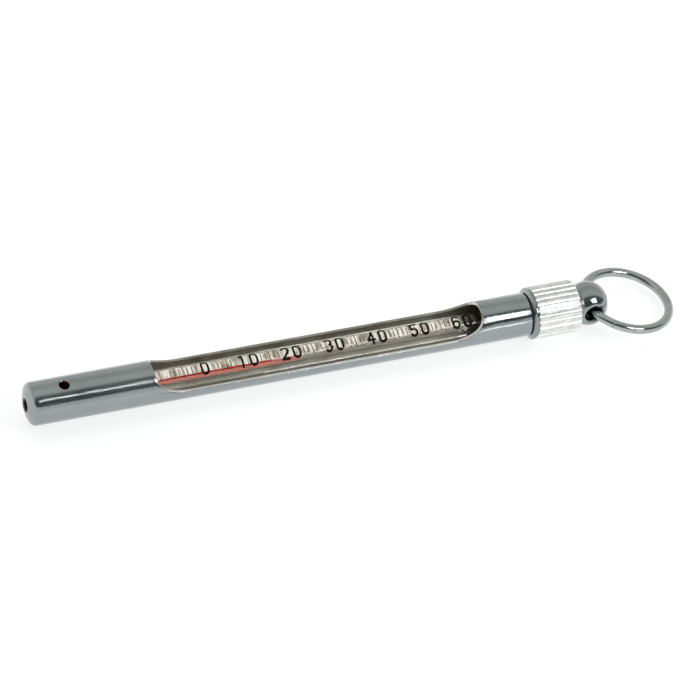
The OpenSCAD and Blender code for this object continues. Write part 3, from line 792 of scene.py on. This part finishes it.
bump = add(tree, "ShaderNodeBump", {"Strength": 0.6, "Distance": 0.08 * MM},
           {"Height": granules.outputs["Distance"]})
gloss = add(tree, "ShaderNodeMapRange", {"To Min": 0.75, "To Max": 0.95},
            {"Value": granules.outputs["Distance"]})
tree.links.new(tone.outputs["Color"], shader.inputs["Base Color"])
tree.links.new(gloss.outputs["Result"], shader.inputs["Roughness"])
tree.links.new(bump.outputs["Normal"], shader.inputs["Normal"])
cork_disc.data.materials.append(cork)
smooth(cork_disc)
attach(cork_disc, "pad")
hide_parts("cap_pad")

# ---- Ball ----
# A slightly flattened ball, turned and cross-drilled, with the hole's mouths rounded so that the ring
# swings freely. Its shank is pressed into the cap's end. It is plated and polished like the tube.
ball_station = 150.0
ball_r = 5.6
ball_flat = 0.925
eye_r = 2.2
eye_round = 0.75
shank_inset = 1.9
shank_len = 2.5
mouth_y = math.sqrt((ball_r - eye_round) ** 2 - (eye_r + eye_round) ** 2)
mouth_lean = math.degrees(math.atan2(eye_r + eye_round, mouth_y))
section = ([(-mouth_y + y, eye_r) for y in (0.0, 1.2, 2.4, mouth_y)]
           + [(y, eye_r) for y in (1.2, 2.4)]
           + arc(mouth_y, eye_r + eye_round, eye_round, -90, mouth_lean, 8)
           + arc(0, 0, ball_r, mouth_lean, 180 - mouth_lean, 40)[1:]
           + arc(-mouth_y, eye_r + eye_round, eye_round, 180 - mouth_lean, 270, 8)[1:])
ball = turned("drilled_ball", section, 96, centre=place(ball_station), about="Y")
bpy.ops.object.mode_set(mode="EDIT")
bpy.ops.mesh.select_all(action="SELECT")
bpy.ops.transform.resize(value=(ball_flat, 1, 1), center_override=place(ball_station))
bpy.ops.mesh.bisect(plane_co=place(cap_x1 - 0.02), plane_no=(1, 0, 0), use_fill=True, clear_inner=True)
bpy.ops.mesh.inset(thickness=shank_inset * MM)
bpy.ops.mesh.extrude_region_move(TRANSFORM_OT_translate={"value": (-shank_len * MM, 0, 0)})
bpy.ops.mesh.select_all(action="SELECT")
bpy.ops.mesh.normals_make_consistent(inside=False)
bpy.ops.object.mode_set(mode="OBJECT")
ball.data.materials.append(chromium)
smooth(ball, 40)
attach(ball, "cap")
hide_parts("ball_finial")

# ---- Carrying ring ----
# Round steel wire, bent to a ring through the ball's hole, its two ends butted with a hair's gap beside the
# ball, and plated. It is a grey mirror a little paler than the tube, rippled along its length by the
# bending.
ring_droop = math.radians(9)
ring_r = 11.1
wire_r = 1.15
ring_reach = 11.3
outward = Vector((math.cos(ring_droop), 0, -math.sin(ring_droop)))
ring_axis = Vector((math.sin(ring_droop), 0, math.cos(ring_droop)))
ring_centre = place(ball_station) + outward * ring_reach * MM
seam = math.radians(-130)
gap = math.radians(0.08)
spoke = math.cos(seam + gap) * outward + math.sin(seam + gap) * Vector((0, 1, 0))
wire_way = ring_axis.cross(spoke)
bpy.ops.object.select_all(action="DESELECT")
bpy.ops.mesh.primitive_circle_add(vertices=32, radius=wire_r * MM, location=ring_centre + spoke * ring_r * MM,
                                  rotation=wire_way.to_track_quat("Z", "Y").to_euler())
ring = bpy.context.object
ring.name = "split_carrying_ring"
bpy.ops.object.transform_apply(location=True, rotation=True, scale=True)
bpy.ops.object.mode_set(mode="EDIT")
bpy.ops.mesh.select_all(action="SELECT")
bpy.ops.mesh.spin(steps=160, angle=math.tau - 2 * gap, center=ring_centre, axis=ring_axis)
bpy.ops.mesh.select_all(action="SELECT")
bpy.ops.mesh.fill_holes(sides=0)
bpy.ops.mesh.normals_make_consistent(inside=False)
bpy.ops.object.mode_set(mode="OBJECT")
apply_modifier(ring, "BEVEL", width=0.12 * MM, segments=3, limit_method="ANGLE",
               angle_limit=math.radians(60))
smooth(ring, 40)
polished, tree, shader = new_material("polished_steel_wire", Metallic=1.0)
spot = add(tree, "ShaderNodeTexCoord").outputs["Object"]
rub = add(tree, "ShaderNodeTexNoise", {"Scale": 200.0, "Detail": 4.0}, {"Vector": spot})
tone = add(tree, "ShaderNodeValToRGB", links={"Fac": rub.outputs["Fac"]},
           stops=[(0.3, "#9ba1a0"), (0.7, "#b0b5b4")])
gloss = add(tree, "ShaderNodeMapRange", {"To Min": 0.06, "To Max": 0.18}, {"Value": rub.outputs["Fac"]})
ripple = add(tree, "ShaderNodeTexNoise", {"Scale": 700.0, "Detail": 2.0}, {"Vector": spot})
bump = add(tree, "ShaderNodeBump", {"Strength": 0.55, "Distance": 0.05 * MM},
           {"Height": ripple.outputs["Fac"]})
tree.links.new(tone.outputs["Color"], shader.inputs["Base Color"])
tree.links.new(gloss.outputs["Result"], shader.inputs["Roughness"])
tree.links.new(bump.outputs["Normal"], shader.inputs["Normal"])
ring.data.materials.append(polished)
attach(ring, "ring")
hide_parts("carry_ring")
